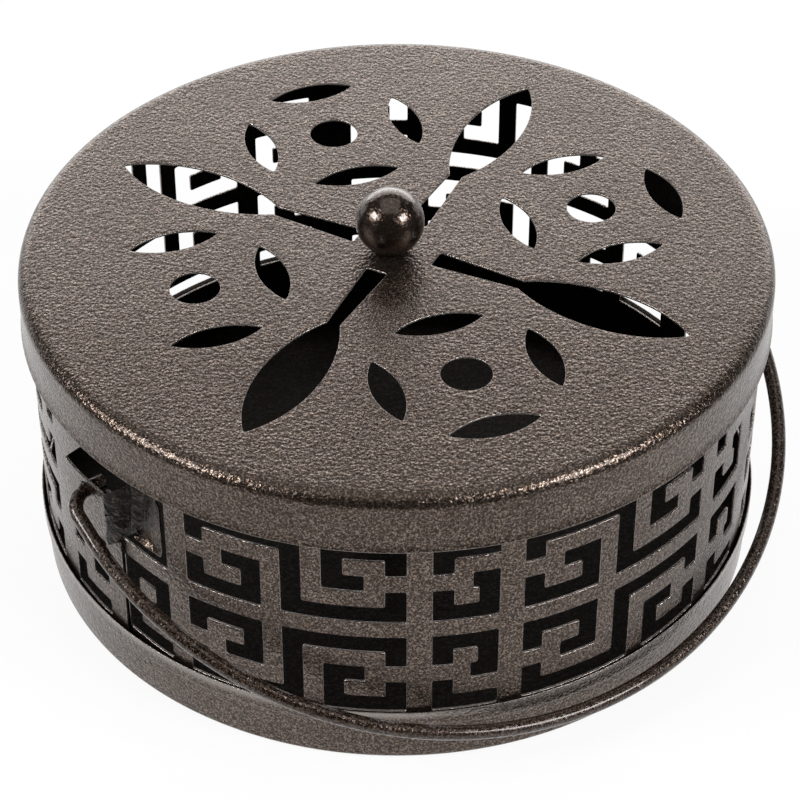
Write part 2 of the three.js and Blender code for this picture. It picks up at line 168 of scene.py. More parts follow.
# Lid
lid_radius = 71.85
lid_flare = 0.34
lid_flare_height = 2.2
flare_steps = 4
lid_edge_round = 2.5
lid_skirt = 12.0
lid_top = 65.6
lid_seat_clearance = 0.15
cluster_radius = 39.7
cluster_hole = 4.75
leaf_reach = 15.1
leaf_length = 17.7
leaf_width = 5.7
cluster_turn = math.radians(18.45)
petal_turn = math.radians(63.4)
petal_start = 8.2
petal_slot_half = 2.2
petal_neck = 26.0
petal_neck_half = 1.3
petal_tip = 60.0
petal_half = 5.7
petal_tip_half = 0.5
lid_openings = 4
cluster_leaves = 4
missing_leaf = 8

# Knob and screw
knob_radius = 6.55
knob_rise = 6.05
knob_offset = -1.25
knob_bore_depth = 8.0
screw_radius = 1.5
screw_clearance = 0.3
screw_length = 7.5
screw_head_radius = 2.9
screw_head_height = 1.9
screw_slot_width = 0.8
screw_slot_depth = 1.0

# Bail
wire_radius = 1.4
bail_angle = math.radians(-54.8)
bail_height = 40.4
bail_half_width = 74.4
bail_depth = 81.1
bail_leg = 9.0
bail_droop = math.radians(24)
bail_bend = 4.6
bail_inner_end = 66.6

# Coil stand
stand_radius = 14.0
stand_height = 21.0
stand_width = 7.0
stand_neck_width = 2.2
stand_shoulder = 15.0
stand_slot_margin = 0.5

lid_underside = lid_top - sheet
lid_edge_centre = lid_radius - lid_edge_round
lid_inner_round = lid_edge_round - sheet
band_top = lid_top - lid_edge_round + math.sqrt(
    (lid_inner_round - lid_seat_clearance) ** 2 - (band_radius - lid_edge_centre) ** 2)


# Node trees

def sign(operation, is_swapped=False):
    """What a sum or product with a socket does, with the socket on its left or its right."""
    def apply(self, other):
        pair = (other, self) if is_swapped else (self, other)
        return self.maths(operation, *pair)
    return apply


class Value:
    """A socket whose sums and products add their own nodes."""

    def __init__(self, tree, socket):
        self.tree = tree
        self.socket = socket

    def maths(self, operation, *others):
        node = self.tree.nodes.new("ShaderNodeMath")
        node.operation = operation
        for socket, value in zip(node.inputs, others):
            plug(self.tree, socket, value)
        return Value(self.tree, node.outputs[0])

    __add__ = sign("ADD")
    __radd__ = sign("ADD", is_swapped=True)
    __sub__ = sign("SUBTRACT")
    __rsub__ = sign("SUBTRACT", is_swapped=True)
    __mul__ = sign("MULTIPLY")
    __truediv__ = sign("DIVIDE")
    __rtruediv__ = sign("DIVIDE", is_swapped=True)

    def sin(self):
        return self.maths("SINE", self)

    def cos(self):
        return self.maths("COSINE", self)

    def floor(self):
        return self.maths("FLOOR", self)

    def smoothly(self, low, high):
        """0 below low, 1 above high, eased between them."""
        node = self.tree.nodes.new("ShaderNodeMapRange")
        node.interpolation_type = "SMOOTHSTEP"
        plug(self.tree, node.inputs["Value"], self)
        node.inputs["From Min"].default_value = low
        node.inputs["From Max"].default_value = high
        return Value(self.tree, node.outputs["Result"])


def plug(tree, socket, value):
    if isinstance(value, Value):
        tree.links.new(value.socket, socket)
    elif value is not None:
        socket.default_value = value


class Tree:
    """Adds nodes to a tree: settings first, then the values or links of the sockets."""

    def __init__(self, tree):
        self.tree = tree

    def add(self, kind, settings=None, **sockets):
        node = self.tree.nodes.new(kind)
        for name, value in (settings or {}).items():
            setattr(node, name, value)
        for name, value in sockets.items():
            plug(self.tree, node.inputs[name.replace("_", " ")], value)
        return node

    def get(self, node, output=0):
        return Value(self.tree, node.outputs[output])

    def read(self, kind, output=0, settings=None, **sockets):
        return self.get(self.add(kind, settings, **sockets), output)

    def mix_colour(self, share, first, second, blend="MIX"):
        node = self.tree.nodes.new("ShaderNodeMix")
        node.data_type = "RGBA"
        node.blend_type = blend
        plug(self.tree, node.inputs[0], share)
        plug(self.tree, node.inputs[6], first)
        plug(self.tree, node.inputs[7], second)
        return Value(self.tree, node.outputs[2])


class ShapeTree(Tree):
    """A geometry tree with named inputs that can be run on an object and baked."""

    def __init__(self, name, measures, counts=()):
        group = bpy.data.node_groups.new(name, "GeometryNodeTree")
        super().__init__(group)
        group.interface.new_socket("Geometry", in_out="INPUT", socket_type="NodeSocketGeometry")
        group.interface.new_socket("Geometry", in_out="OUTPUT", socket_type="NodeSocketGeometry")
        for kind, labels in (("Float", measures), ("Int", counts), ("Material", ["Material"])):
            for label in labels:
                group.interface.new_socket(label, in_out="INPUT", socket_type="NodeSocket" + kind)
        self.start = group.nodes.new("NodeGroupInput")

    def given(self, label):
        return Value(self.tree, self.start.outputs[label])

    def finish(self, geometry):
        realized = self.read("GeometryNodeRealizeInstances", Geometry=geometry)
        coated = self.read("GeometryNodeSetMaterial", Geometry=realized, Material=self.given("Material"))
        end = self.tree.nodes.new("NodeGroupOutput")
        plug(self.tree, end.inputs[0], coated)

    def run(self, thing, values):
        """Runs the tree on an object and leaves the result as its plain mesh."""
        modifier = thing.modifiers.new(self.tree.name, "NODES")
        modifier.node_group = self.tree
        for item in self.tree.interface.items_tree:
            if item.in_out == "INPUT" and item.name in values:
                modifier[item.identifier] = values[item.name]
        bake(thing)
        return thing


def bake(thing):
    """Turns what the modifiers make into the object's own mesh."""
    bpy.context.view_layer.update()
    evaluated = thing.evaluated_get(bpy.context.evaluated_depsgraph_get())
    mesh = bpy.data.meshes.new_from_object(evaluated)
    thing.modifiers.clear()
    thing.data = mesh


def placed(name, data):
    thing = bpy.data.objects.new(name, data)
    bpy.context.scene.collection.objects.link(thing)
    return thing


def mark_points(mesh, name, values):
    mesh.attributes.new(name, "FLOAT", "POINT").data.foreach_set("value", values)


# Outlines in millimetres, with the metal on their left

def area(points):
    total = 0.0
    for (x, y), (next_x, next_y) in zip(points, points[1:] + points[:1]):
        total += x * next_y - next_x * y
    return total / 2


def around_metal(points):
    return points if area(points) > 0 else points[::-1]


def around_hole(points):
    return points if area(points) < 0 else points[::-1]


def arc(centre, radius, start, end, steps):
    points = []
    for i in range(steps + 1):
        angle = start + (end - start) * i / steps
        points.append((centre[0] + radius * math.cos(angle), centre[1] + radius * math.sin(angle)))
    return points


def circle(x, radius, steps):
    return arc((x, 0), radius, 0, full_turn, steps)[:-1]


def eased_corner(before, corner, after, radius):
    """A short curve in the corner's place."""
    here = Vector(corner)
    back = Vector(before) - here
    ahead = Vector(after) - here
    reach = radius * math.tan((math.pi - back.angle(ahead)) / 2)
    reach = min(reach, back.length / corner_reach_parts, ahead.length / corner_reach_parts)
    start = here + back.normalized() * reach
    end = here + ahead.normalized() * reach
    points = []
    for k in range(corner_steps + 1):
        share = k / corner_steps
        spot = start.lerp(here, share).lerp(here.lerp(end, share), share)
        points.append((spot.x, spot.y))
    return points


def rounded(points, radius):
    """Rounds each sharp corner of an outline."""
    result = []
    for before, corner, after in zip(points[-1:] + points[:-1], points, points[1:] + points[:1]):
        here = Vector(corner)
        bend = math.pi - (Vector(before) - here).angle(Vector(after) - here)
        result += [corner] if bend < slight_bend else eased_corner(before, corner, after, radius)
    return result


def eased_run(points, radius):
    """Rounds the inner corners of an open run of points."""
    result = [points[0]]
    for before, corner, after in zip(points, points[1:], points[2:]):
        result += eased_corner(before, corner, after, radius)
    return [*result, points[-1]]


def divided(points, fine_from=math.inf):
    """Adds points so that no edge of the outline is much longer than a step."""
    result = []
    for (x, y), (next_x, next_y) in zip(points, points[1:] + points[:1]):
        step = fine_step if min(x, next_x) > fine_from else outline_step
        parts = max(1, round(math.dist((x, y), (next_x, next_y)) / step))
        for i in range(parts):
            result.append((x + (next_x - x) * i / parts, y + (next_y - y) * i / parts))
    return result


def inset(points, distance):
    """Moves an outline into the metal on its left."""
    result = []
    count = len(points)
    for i, (x, y) in enumerate(points):
        before = Vector((x - points[i - 1][0], y - points[i - 1][1])).normalized()
        after = Vector((points[(i + 1) % count][0] - x, points[(i + 1) % count][1] - y)).normalized()
        side = Vector((-before.y - after.y, before.x + after.x))
        side = side.normalized() / max(side.length / 2, sharpest_share)
        result.append((x + side.x * distance, y + side.y * distance))
    return result


def in_metal(points, outlines):
    """Which points lie in the metal between the outlines."""
    x, y = np.array(points).T
    odd = np.zeros(len(x), bool)
    for outline in outlines:
        for (ax, ay), (bx, by) in zip(outline, outline[1:] + outline[:1]):
            if ay != by:
                spans = (ay > y) != (by > y)
                odd ^= spans & (x < ax + (y - ay) * (bx - ax) / (by - ay))
    return odd


# Sheet metal

class Sheet:
    """A flat sheet with holes, its cut edges rounded. Depth runs down from its face."""

    def __init__(self, outer, holes, round_outer=True, fine_from=math.inf, thickness=sheet):
        self.verts = []
        self.cut = []
        self.thickness = thickness
        self.faces = []
        self.back_of = {}
        self.fine_from = fine_from
        outlines = [around_metal(outer)] + [around_hole(hole) for hole in holes]
        rims = []
        for outline in outlines:
            has_round = round_outer or outline is not outlines[0]
            rims.append(self.add_rim(outline, has_round))
        self.fill(rims)

    def add_rim(self, outline, has_round):
        """Walls round one outline, from the face over the rounded edges to the back."""
        levels = [(0, 0), (0, self.thickness)]
        if has_round:
            profile = []
            for k in range(edge_steps + 1):
                turn = quarter_turn * k / edge_steps
                profile.append((edge_round * (1 - math.sin(turn)), edge_round * (1 - math.cos(turn))))
            levels = profile + [(move, self.thickness - depth) for move, depth in profile[::-1]]
        rings = []
        for move, depth in levels:
            rings.append(range(len(self.verts), len(self.verts) + len(outline)))
            self.verts += [(x, y, -depth) for x, y in inset(outline, move)]
        if has_round:
            self.cut += [i for ring in rings[1:-1] for i in ring]
            for above, below in zip(rings, rings[1:]):
                for i in range(len(outline)):
                    self.faces.append((above[i - 1], below[i - 1], below[i], above[i]))
        self.back_of.update(zip(rings[0], rings[-1]))
        return rings[0]

    def spread_over(self, outlines):
        """Points in staggered rows over the metal, closer together where the grid is fine."""
        low_x, low_y = np.min(outlines[0], axis=0)
        high_x, high_y = np.max(outlines[0], axis=0)
        spread = []
        split = min(self.fine_from, high_x)
        for step, start, end in ((fill_step, low_x, split), (fine_step, split, high_x)):
            for j, y in enumerate(np.arange(low_y + step, high_y, step)):
                for x in np.arange(start + step * (1 + j % 2 / 2), end, step):
                    spread.append((float(x), float(y)))
        clear = [inset(outline, fine_step / 2) for outline in outlines]
        keep = in_metal(spread, clear) & in_metal(spread, outlines)
        return [point for point, is_kept in zip(spread, keep) if is_kept]

    def fill(self, rims):
        """Face and back between the rims."""
        outlines = [[self.verts[i][:2] for i in rim] for rim in rims]
        points = [point for outline in outlines for point in outline]
        edges = []
        for outline in outlines:
            first = len(edges)
            count = len(outline)
            edges += [(first + i, first + (i + 1) % count) for i in range(count)]
        points += self.spread_over(outlines)
        found = delaunay_2d_cdt([Vector(point) for point in points], edges, [], 0, fill_tolerance)
        verts, _, faces, origins = found[:4]
        rim_indices = [i for rim in rims for i in rim]
        front = []
        for spot, origin in zip(verts, origins):
            first = min(origin) if origin else len(rim_indices)
            if first < len(rim_indices):
                front.append(rim_indices[first])
            else:
                front.append(len(self.verts))
                self.back_of[len(self.verts)] = len(self.verts) + 1
                self.verts += [(spot.x, spot.y, 0.0), (spot.x, spot.y, -self.thickness)]
        middles = [sum((verts[i] for i in face), Vector((0, 0))) / len(face) for face in faces]
        for face, is_metal in zip(faces, in_metal([tuple(middle) for middle in middles], outlines)):
            if is_metal:
                self.faces.append(tuple(front[i] for i in face))
                self.faces.append(tuple(self.back_of[front[i]] for i in reversed(face)))


def piece_from(name, verts, faces, material=None, cut=()):
    """One object whose mesh holds its place, closed and facing outwards, its cut edges marked."""
    mesh = bpy.data.meshes.new(name)
    mesh.from_pydata([Vector(vert) * mm for vert in verts], [], faces)
    marks = np.zeros(len(verts))
    marks[list(cut)] = 1.0
    mark_points(mesh, "cut_edge", marks)
    work = bmesh.new()
    work.from_mesh(mesh)
    bmesh.ops.remove_doubles(work, verts=work.verts, dist=weld_distance)
    bmesh.ops.recalc_face_normals(work, faces=work.faces)
    work.to_mesh(mesh)
    work.free()
    if material:
        mesh.materials.append(material)
    return placed(name, mesh)


def smoothed(thing):
    """Smooth shading that leaves the flats flat."""
    mesh = thing.data
    mesh.shade_smooth()
    mesh.set_sharp_from_angle(angle=sharp_angle)
    modifier = thing.modifiers.new("even_shading", "WEIGHTED_NORMAL")
    modifier.keep_sharp = True
    bake(thing)
    return thing


def turned(profile, facets=turn_facets, centre=0.0):
    """Spins a profile of radius and height about the upright axis."""
    verts = []
    faces = []
    rings = []
    for radius, height in profile:
        if radius == 0:
            rings.append([len(verts)] * facets)
            verts.append((centre, 0, height))
            continue
        rings.append(range(len(verts), len(verts) + facets))
        for i in range(facets):
            turn = full_turn * i / facets
            verts.append((centre + radius * math.cos(turn), radius * math.sin(turn), height))
    for low, high in zip(rings, rings[1:]):
        for i in range(facets):
            corners = [low[i - 1], low[i], high[i], high[i - 1]]
            faces.append(tuple(dict.fromkeys(corners)))
    return verts, faces


def joined(*shapes):
    """Puts lists of corners and faces together as one."""
    verts = []
    faces = []
    for more_verts, more_faces in shapes:
        first = len(verts)
        verts += more_verts
        faces += [tuple(first + i for i in face) for face in more_faces]
    return verts, faces


# Fret

short_upper_shares = [
    (0, 3.2, 0, 1), (0, 1, 0, 2),
    (0, 1, 3, 5), (0, 3.2, 4, 5), (2.2, 3.2, 2, 5), (1.9, 3.2, 2, 3),
]
short_lower_shares = [
    (0, 3.2, 0, 1), (0, 1, 0, 2), (2.2, 3.2, 0, 3), (1.85, 3.2, 2, 3),
    (0, 1, 3, 5), (0, 3.2, 4, 5),
]
long_upper_shares = [
    (0, 6, 0, 1), (0, 1, 0, 2), (5, 6, 0, 5), (5, 11, 4, 5), (10, 11, 3, 5),
    (0, 1, 3, 5), (0, 4, 4, 5), (3, 4, 2, 5), (2, 4, 2, 3),
    (7, 11, 0, 1), (7, 8, 0, 3), (7, 9, 2, 3), (10, 11, 0, 2),
]
long_lower_shares = [
    (0, 4, 0, 1), (0, 1, 0, 2), (3, 4, 0, 3), (2, 4, 2, 3),
    (5, 11, 0, 1), (10, 11, 0, 2), (5, 6, 0, 5), (0, 6, 4, 5), (0, 1, 3, 5),
    (7, 9, 2, 3), (7, 8, 2, 5), (7, 11, 4, 5), (10, 11, 3, 5),
]
unit_shares = {
    "short": (3.2, short_upper_shares, short_lower_shares),
    "long": (11.0, long_upper_shares, long_lower_shares),
}
bar_share = 1.235

# The strip read from the seam: size, extra width of the bar before it, and whether its upper row is cut
strip_units = [
    ("short", 0.0, False), ("long", 0.0, True), ("short", 0.0, True), ("long", 0.0, True),
    ("short", 0.0, True), ("short", 0.65, True), ("long", 0.0, True), ("short", 0.95, False),
    ("long", 0.0, True), ("short", 0.0, True), ("short", 1.15, True), ("long", 0.0, True),
    ("short", 0.0, True), ("long", 0.0, True), ("short", 0.6, False),
]
strip_length = full_turn * band_radius
module = strip_length / sum(unit_shares[size][0] + bar_share + extra for size, extra, _ in strip_units)
bar_half = module * bar_share / 2


def window_outlines(cells, left, top, row):
    """The outlines of the windows that a unit's arms make together."""
    columns = sorted({edge for cell in cells for edge in cell[:2]})
    rows = sorted({edge for cell in cells for edge in cell[2:]})
    borders = set()
    for i, j in np.ndindex(len(columns) - 1, len(rows) - 1):
        is_cut = any(a <= columns[i] < b and above <= rows[j] < below for a, b, above, below in cells)
        if not is_cut:
            continue
        corners = [(i, j), (i + 1, j), (i + 1, j + 1), (i, j + 1)]
        for a, b in zip(corners, corners[1:] + corners[:1]):
            if (b, a) in borders:
                borders.remove((b, a))
            else:
                borders.add((a, b))
    following = dict(sorted(borders))
    outlines = []
    while following:
        first = next(iter(following))
        outline = [first]
        spot = following.pop(first)
        while spot != first:
            outline.append(spot)
            spot = following.pop(spot)
        places = [(left + columns[i] * module, top - rows[j] * row) for i, j in outline]
        outlines.append(corners_only(places))
    return outlines


def corners_only(points):
    kept = []
    count = len(points)
    for i, (x, y) in enumerate(points):
        before = points[i - 1]
        after = points[(i + 1) % count]
        if abs((x - before[0]) * (after[1] - y) - (y - before[1]) * (after[0] - x)) > fill_tolerance:
            kept.append((x, y))
    return kept


def fret_outlines():
    upper_row = (upper_row_top - upper_row_bottom) / fret_rows
    lower_row = (lower_row_top - lower_row_bottom) / fret_rows
    outlines = []
    bar = 0.0
    for size, extra, has_upper in strip_units:
        columns, upper, lower = unit_shares[size]
        left = bar + extra * module + bar_half
        if has_upper:
            outlines += window_outlines(upper, left, upper_row_top, upper_row)
        outlines += window_outlines(lower, left, lower_row_top, lower_row)
        bar += (columns + bar_share + extra) * module
    return outlines


def strip_outline():
    """The blank laid flat, from its inner end at the seam to the tongue at its outer end."""
    start = lap_gap - bar_half
    opening = bar_half + unit_shares["short"][0] * module
    slope = (tongue_low_knee - tongue_low_root) / tongue_knee
    past_seam = [
        (bar_half, pan_seat_height), (bar_half, tongue_low_root + bar_half * slope - slit_width),
        (0, tongue_low_root - slit_width), (tongue_join, tongue_low_root - slit_width),
        (tongue_join, tongue_low_root), (0, tongue_low_root), (tongue_knee, tongue_low_knee),
        (tongue_knee + bar_half, tongue_low_mid), (tongue_reach, tongue_low_tip),
        (tongue_reach, tongue_high_tip), (tongue_mid, tongue_high_mid), (sheet, tongue_high_root),
        (tongue_join, notch_floor), (-notch_left, notch_low_corner), (-notch_top_left, upper_row_top),
        (bar_half, upper_row_top), (bar_half, band_top),
    ]
    return [
        (start, pan_seat_height), *[(strip_length + along, height) for along, height in past_seam],
        (start, band_top), (start, upper_row_top), (opening, upper_row_top), (opening, upper_row_bottom),
        (bar_half, upper_row_bottom), (bar_half, inner_bar_top), (start, inner_bar_top),
    ]


# Places along the tongue, how far it stands out there, and how much of the lean at the top it takes
reach_shares = [0, 0.09, 0.147, 0.225, 0.302, 0.367, 0.455, 0.6, 0.79, 1]
offset_shares = [0, 0.62, 0.65, 0.19, -0.38, -0.95, -0.45, -0.6, -0.4, -0.23]
lean_shares = [0, 0, 0, 0, 0.1, 0.7, 0.55, 1, 0.5, 0]


def tongue_bend():
    """Length along the tongue, offset and lean, as a smooth run of points."""
    stations = []
    for reach, offset, lean in zip(reach_shares, offset_shares, lean_shares):
        along = tongue_join + (tongue_reach - tongue_join) * reach
        stations.append((along, offset * dent_depth, lean * dent_lean))
    padded = [stations[0], *stations, stations[-1]]
    curve = []
    for a, b, c, d in zip(padded, padded[1:], padded[2:], padded[3:]):
        for k in range(spline_steps):
            t = k / spline_steps
            curve.append(tuple(
                b[i] + (c[i] - a[i]) * t / 2
                + (2 * a[i] - 5 * b[i] + 4 * c[i] - d[i]) * t * t / 2
                + (3 * b[i] - a[i] - 3 * c[i] + d[i]) * t * t * t / 2
                for i in range(3)))
    curve.append(stations[-1])
    return np.array(curve)


def strip_offset(along, height, bend):
    """How far the strip stands out from the ring at a length along it and a height."""
    past_seam = along - strip_length
    knees = (0, tongue_knee, tongue_knee + bar_half)
    low_edge = np.interp(past_seam, knees, (tongue_low_root, tongue_low_knee, tongue_low_mid))
    if past_seam > tongue_join and low_edge - slit_width / 2 < height < upper_row_top:
        rise = (height - tongue_low_root) / (upper_row_top - tongue_low_root)
        offset = np.interp(past_seam, bend[:, 0], bend[:, 1])
        lean = np.interp(past_seam, bend[:, 0], bend[:, 2])
        return float(offset - lean * rise)
    run = min(max((along - bar_half) / lap_run, 0.0), 1.0)
    return -(sheet + lap_gap) * (1 - run * run * (3 - 2 * run))


def fold_and_shade_share(along, height):
    """How far the coat is drawn into folds on the crimped tongue, with painted shade over them: least at its
    lower outer corner.
    """
    past_seam = along - strip_length
    if past_seam < tongue_join or not tongue_low_root < height < upper_row_top:
        return 0.0
    toward_corner = past_seam / tongue_reach + (upper_row_top - height) / (upper_row_top - tongue_low_tip)
    return min(1.0, max(0.0, (fold_fade - toward_corner) / fold_soft))


def rolling_tree():
    """Rolls a flat strip round the upright axis: length becomes angle and depth becomes radius."""
    tree = ShapeTree("roll_strip", ["Radius", "Seam angle"])
    flat = tree.add("ShaderNodeSeparateXYZ", Vector=tree.read("GeometryNodeInputPosition"))
    angle = tree.get(flat, 0) / tree.given("Radius") + tree.given("Seam angle")
    standing_out = tree.read("GeometryNodeInputNamedAttribute", 0, Name="standing_out")
    radius = tree.given("Radius") + tree.get(flat, 2) + standing_out
    place = tree.read(
        "ShaderNodeCombineXYZ", X=radius * angle.sin(), Y=0 - radius * angle.cos(), Z=tree.get(flat, 1))
    tree.finish(tree.read("GeometryNodeSetPosition", Geometry=tree.given("Geometry"), Position=place))
    return tree


def make_band(material):
    ear_left = strip_length + (bail_angle - seam_angle) * band_radius
    ear_right = ear_left - strip_length / 2
    holes = [divided(rounded(window, corner_round)) for window in fret_outlines()]
    for ear in (ear_left, ear_right):
        holes.append(arc((ear, bail_height), ear_hole_radius, 0, full_turn, hole_facets)[:-1])
    fine_from = strip_length + tongue_join - fill_step
    outer = divided(rounded(strip_outline(), corner_round), fine_from)
    blank = Sheet(outer, holes, fine_from=fine_from, thickness=thin_sheet)
    band = piece_from("fret_band_sheet", blank.verts, blank.faces, None, blank.cut)
    bend = tongue_bend()
    offsets = [strip_offset(vert.co.x / mm, vert.co.y / mm, bend) * mm for vert in band.data.vertices]
    mark_points(band.data, "standing_out", offsets)
    # Where the tongue's folds lie, for their bump and their painted shade
    folds_and_shade = [fold_and_shade_share(vert.co.x / mm, vert.co.y / mm) for vert in band.data.vertices]
    mark_points(band.data, "crinkle_and_shade", folds_and_shade)
    rolling_tree().run(band, {"Radius": band_radius * mm, "Seam angle": seam_angle, "Material": material})
    band.data.attributes.remove(band.data.attributes["standing_out"])
    return smoothed(band)


# Lid

def leaf_outline():
    half = leaf_length / 2
    radius = (half * half + leaf_width * leaf_width / 4) / leaf_width
    rise = radius - leaf_width / 2
    spread = math.asin(half / radius)
    top = arc((0, -rise), radius, quarter_turn - spread, quarter_turn + spread, leaf_steps)
    bottom = arc((0, rise), radius, -quarter_turn - spread, -quarter_turn + spread, leaf_steps)
    return rounded(top[:-1] + bottom[:-1], leaf_tip_round)


def bezier(a, b, c, d, steps):
    points = []
    for k in range(steps + 1):
        t = k / steps
        u = 1 - t
        points.append(tuple(
            u * u * u * a[i] + 3 * u * u * t * b[i] + 3 * u * t * t * c[i] + t * t * t * d[i]
            for i in range(2)))
    return points


def petal_outline():
    belly = (petal_half * 8 - petal_neck_half - petal_tip_half) / 6
    near = petal_neck + (petal_tip - petal_neck) * petal_near_share
    far = petal_neck + (petal_tip - petal_neck) * petal_far_share
    shoulder = petal_tip - petal_tip_half
    neck = (petal_neck, -petal_neck_half)
    lower = bezier(neck, (near, -belly), (far, -belly), (shoulder, -petal_tip_half), petal_steps)
    side = [(petal_start, -petal_slot_half), *lower]
    outline = [*side, (petal_tip, 0), *[(x, -y) for x, y in side[::-1]]]
    return divided(rounded(outline, petal_corner_round))


def openings_tree():
    """Sets the leaf, hole and petal outlines out over the lid."""
    measures = ["Cluster radius", "Cluster turn", "Leaf reach", "Petal turn"]
    tree = ShapeTree("lid_openings", measures, ["Openings", "Missing leaf"])
    step = full_turn / tree.given("Openings")
    index = tree.read("GeometryNodeInputIndex")
    kind = tree.read("GeometryNodeInputNamedAttribute", 0, Name="kind")

    def outline_of(number):
        is_kind = tree.read("ShaderNodeMath", 0, {"operation": "COMPARE"})
        node = is_kind.socket.node
        plug(tree.tree, node.inputs[0], kind)
        node.inputs[1].default_value = number
        return tree.read(
            "GeometryNodeSeparateGeometry", 0, Geometry=tree.given("Geometry"), Selection=is_kind)

    def spread(number, count, direction, x, y, keep=None):
        points = tree.read("GeometryNodePoints", 0, Count=count)
        place = tree.read("ShaderNodeCombineXYZ", X=x, Y=y)
        spots = tree.read("GeometryNodeSetPosition", Geometry=points, Position=place)
        turn = tree.read("ShaderNodeCombineXYZ", Z=direction)
        copies = tree.add(
            "GeometryNodeInstanceOnPoints", Points=spots, Instance=outline_of(number), Rotation=turn)
        if keep is not None:
            plug(tree.tree, copies.inputs["Selection"], keep)
        return tree.get(copies)

    cluster = (index / cluster_leaves).floor()
    outward = tree.given("Cluster turn") + cluster * step
    toward = outward + (index - cluster * cluster_leaves) * quarter_turn
    reach = tree.given("Leaf reach")
    centre = tree.given("Cluster radius")
    is_there = index.maths("ABSOLUTE", index - tree.given("Missing leaf"))
    leaves = spread(
        0, tree.given("Openings") * cluster_leaves, toward + quarter_turn,
        centre * outward.cos() + reach * toward.cos(),
        centre * outward.sin() + reach * toward.sin(), is_there)
    ring = tree.given("Cluster turn") + index * step
    holes = spread(1, tree.given("Openings"), ring, centre * ring.cos(), centre * ring.sin())
    petals = spread(2, tree.given("Openings"), tree.given("Petal turn") + index * step, 0, 0)
    join = tree.add("GeometryNodeJoinGeometry")
    for part in (leaves, holes, petals):
        tree.tree.links.new(part.socket, join.inputs[0])
    tree.finish(tree.get(join))
    return tree


def lid_outlines(material):
    """Lays out the openings with the tree and reads their outlines back."""
    shapes = [leaf_outline(), circle(0, cluster_hole, hole_facets), petal_outline()]
    verts = []
    edges = []
    kinds = []
    for kind, shape in enumerate(shapes):
        first = len(verts)
        count = len(shape)
        verts += [(x * mm, y * mm, 0) for x, y in shape]
        edges += [(first + i, first + (i + 1) % count) for i in range(count)]
        kinds += [kind] * count
    mesh = bpy.data.meshes.new("opening_outlines")
    mesh.from_pydata(verts, edges, [])
    mark_points(mesh, "kind", kinds)
    layout = placed("opening_outlines", mesh)
    openings_tree().run(layout, {
        "Cluster radius": cluster_radius * mm, "Cluster turn": cluster_turn,
        "Leaf reach": leaf_reach * mm, "Petal turn": petal_turn,
        "Openings": lid_openings, "Missing leaf": missing_leaf, "Material": material})
    following = {}
    for edge in layout.data.edges:
        a, b = edge.vertices
        following.setdefault(a, []).append(b)
        following.setdefault(b, []).append(a)
    spots = [(vert.co.x / mm, vert.co.y / mm) for vert in layout.data.vertices]
    bpy.data.objects.remove(layout)
    outlines = []
    while following:
        here = next(iter(following))
        outline = []
        while here is not None:
            outline.append(spots[here])
            here = next((i for i in following.pop(here) if i in following), None)
        outlines.append(outline)
    return outlines


def make_lid(material):
    rim = circle(0, lid_edge_centre, turn_facets)
    screw_hole = circle(knob_offset, screw_radius + screw_clearance, hole_facets)
    plate = Sheet(rim, lid_outlines(material) + [screw_hole], round_outer=False, thickness=thin_sheet)
    verts = [(x, y, lid_top + depth) for x, y, depth in plate.verts]
    edge_height = lid_top - lid_edge_round
    skirt_bottom = lid_top - lid_skirt
    outside = arc((lid_edge_centre, edge_height), lid_edge_round, quarter_turn, 0, round_steps)
    inside = arc((lid_edge_centre, edge_height), lid_edge_round - thin_sheet, 0, quarter_turn, round_steps)
    flare = []
    for k in range(flare_steps + 1):
        share = k / flare_steps
        flare.append((lid_radius + lid_flare * share ** 2, skirt_bottom + lid_flare_height * (1 - share)))
    back = [(radius - thin_sheet, height) for radius, height in flare[::-1]]
    foot = eased_run([outside[-1], *flare, *back, inside[0]], skirt_edge_round)
    both = joined((verts, plate.faces), turned(outside[:-1] + foot + inside[1:]))
    lid = piece_from("lid_sheet", *both, material, plate.cut)
    mark_run(lid, skirt_bottom - skirt_edge_round, skirt_bottom + skirt_edge_round)
    return smoothed(lid)


def mark_run(thing, low, high):
    """Marks a turned piece's cut edge, which lies between two heights; the coat draws a lighter line there,
    partly edge wear and partly painted highlight.
    """
    marks = thing.data.attributes["cut_edge"].data
    for vert, mark in zip(thing.data.vertices, marks):
        if low * mm < vert.co.z < high * mm:
            mark.value = 1.0


# Pan

def make_pan(material):
    inner = band_radius + seat_clearance
    outer = inner + sheet
    outer_corner = arc((pan_flat_radius, pan_corner), pan_corner, -quarter_turn, 0, round_steps)
    inner_corner = arc((pan_flat_radius, pan_corner), pan_corner - sheet, 0, -quarter_turn, round_steps)
    step = pan_seat_height + sheet / 2
    bulge = (outer, step + pan_step_round)
    wall = eased_run([outer_corner[-1], (pan_wall_top_radius, step), bulge], pan_step_round)
    lip = eased_run([
        bulge, (outer, pan_rim_height), (outer - pan_lip_width, pan_rim_height),
        (inner, pan_rim_height - pan_lip_drop),
    ], pan_lip_round)
    seat = [(inner, pan_seat_height), (pan_wall_top_radius - sheet, pan_seat_height)]
    run = outer_corner[:-1] + wall[:-1] + lip + seat + inner_corner
    rings = [pan_flat_radius * share for share in pan_ring_shares]
    profile = [(0, 0), *[(ring, 0) for ring in rings], *run]
    profile += [*[(ring, sheet) for ring in rings[::-1]], (0, sheet)]
    pan = piece_from("pan_sheet", *turned(profile), material)
    mark_run(pan, pan_rim_height - pan_lip_round, pan_rim_height + pan_lip_round)
    return smoothed(pan)


# Knob and screw

def make_knob(material):
    bore = screw_radius + screw_clearance
    centre = lid_top + knob_rise
    low = math.asin(-knob_rise / knob_radius)
    ball = arc((0, centre), knob_radius, low, quarter_turn, ball_steps)
    ball[-1] = (0, ball[-1][1])
    profile = [(0, lid_top + knob_bore_depth), (bore, lid_top + knob_bore_depth), (bore, lid_top), *ball]
    knob = piece_from("ball_knob_turned", *turned(profile, ball_facets, knob_offset), material)
    return smoothed(knob)


